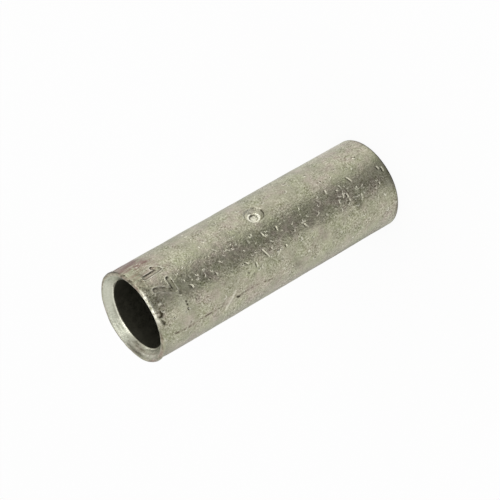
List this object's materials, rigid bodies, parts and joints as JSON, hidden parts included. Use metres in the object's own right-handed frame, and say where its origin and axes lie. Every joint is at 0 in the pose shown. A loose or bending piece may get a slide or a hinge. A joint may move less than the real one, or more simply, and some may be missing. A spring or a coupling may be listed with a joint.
{
  "type": "copper sleeve",
  "caption": "Tinned copper tube with bevelled mouths and a punched centre stop, crimped over bared conductor ends to join them end to end.",
  "frame": {"origin": "centre of the end face that the sleeve stands on", "axes": "+Z along the tube's axis, towards the marked end; -Y out of the tube's wall through the punched dimple"},
  "size_m": [0.022, 0.022, 0.07],
  "materials": {
    "tinned_copper": "satin tin plate on copper, handled and slightly worn"
  },
  "bodies": {
    "root": {"sleeve": "tinned_copper"}
  },
  "joints": []
}
